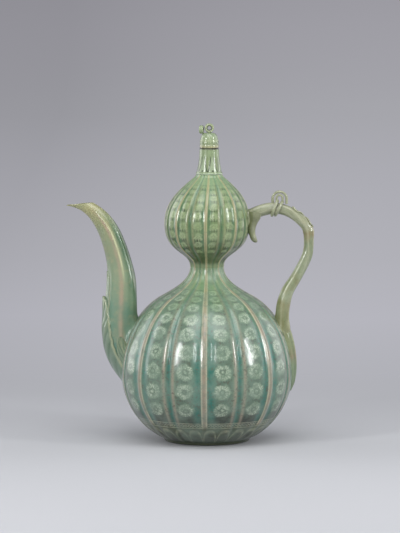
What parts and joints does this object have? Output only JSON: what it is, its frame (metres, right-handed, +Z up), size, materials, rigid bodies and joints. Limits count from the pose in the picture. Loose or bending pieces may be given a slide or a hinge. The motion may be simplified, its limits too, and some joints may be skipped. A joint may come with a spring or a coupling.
{
  "type": "ewer",
  "caption": "Hollow gourd-shaped ceramic ewer in inlaid green celadon, with a curved faceted spout, a vine handle with a knot and a lift-out stopper.",
  "frame": {"origin": "on the ground, at the middle of the ewer's length from spout to handle", "axes": "+Z up along the gourd's axis, -X towards the spout, +X towards the handle"},
  "size_m": [0.2674, 0.184, 0.3423],
  "materials": {
    "lower_glaze": "glossy crackled celadon glaze over white and black inlay",
    "upper_glaze": "glossy celadon glaze, yellower green, over inlay",
    "limb_glaze": "glossy olive green celadon glaze",
    "leaf_glaze": "glossy celadon glaze, pooled in the carved veins",
    "bare_clay": "unglazed grey brown stoneware, matt"
  },
  "bodies": {
    "ewer": {"lower_gourd": "lower_glaze", "upper_gourd": "upper_glaze", "neck": "upper_glaze", "spout": "limb_glaze", "handle_vine": "limb_glaze", "tie_wrap_1": "limb_glaze", "tie_wrap_2": "limb_glaze", "tie_loop": "limb_glaze", "tie_coil": "limb_glaze", "tie_tendril": "limb_glaze", "spout_sheath_outer": "leaf_glaze", "spout_sheath_near": "leaf_glaze", "spout_sheath_far": "leaf_glaze", "handle_root_leaf": "leaf_glaze", "handle_curl_leaf": "leaf_glaze", "foot_ring": "bare_clay"},
    "lid": {"lid_cap": "upper_glaze", "lid_plug": "bare_clay", "lid_loop": "upper_glaze", "lid_side_loop": "upper_glaze"}
  },
  "joints": [
    {"name": "lid_lift", "type": "slide", "parent": "ewer", "child": "lid", "axis": [0, 0, 1], "range_m": [0, 0.03]}
  ]
}
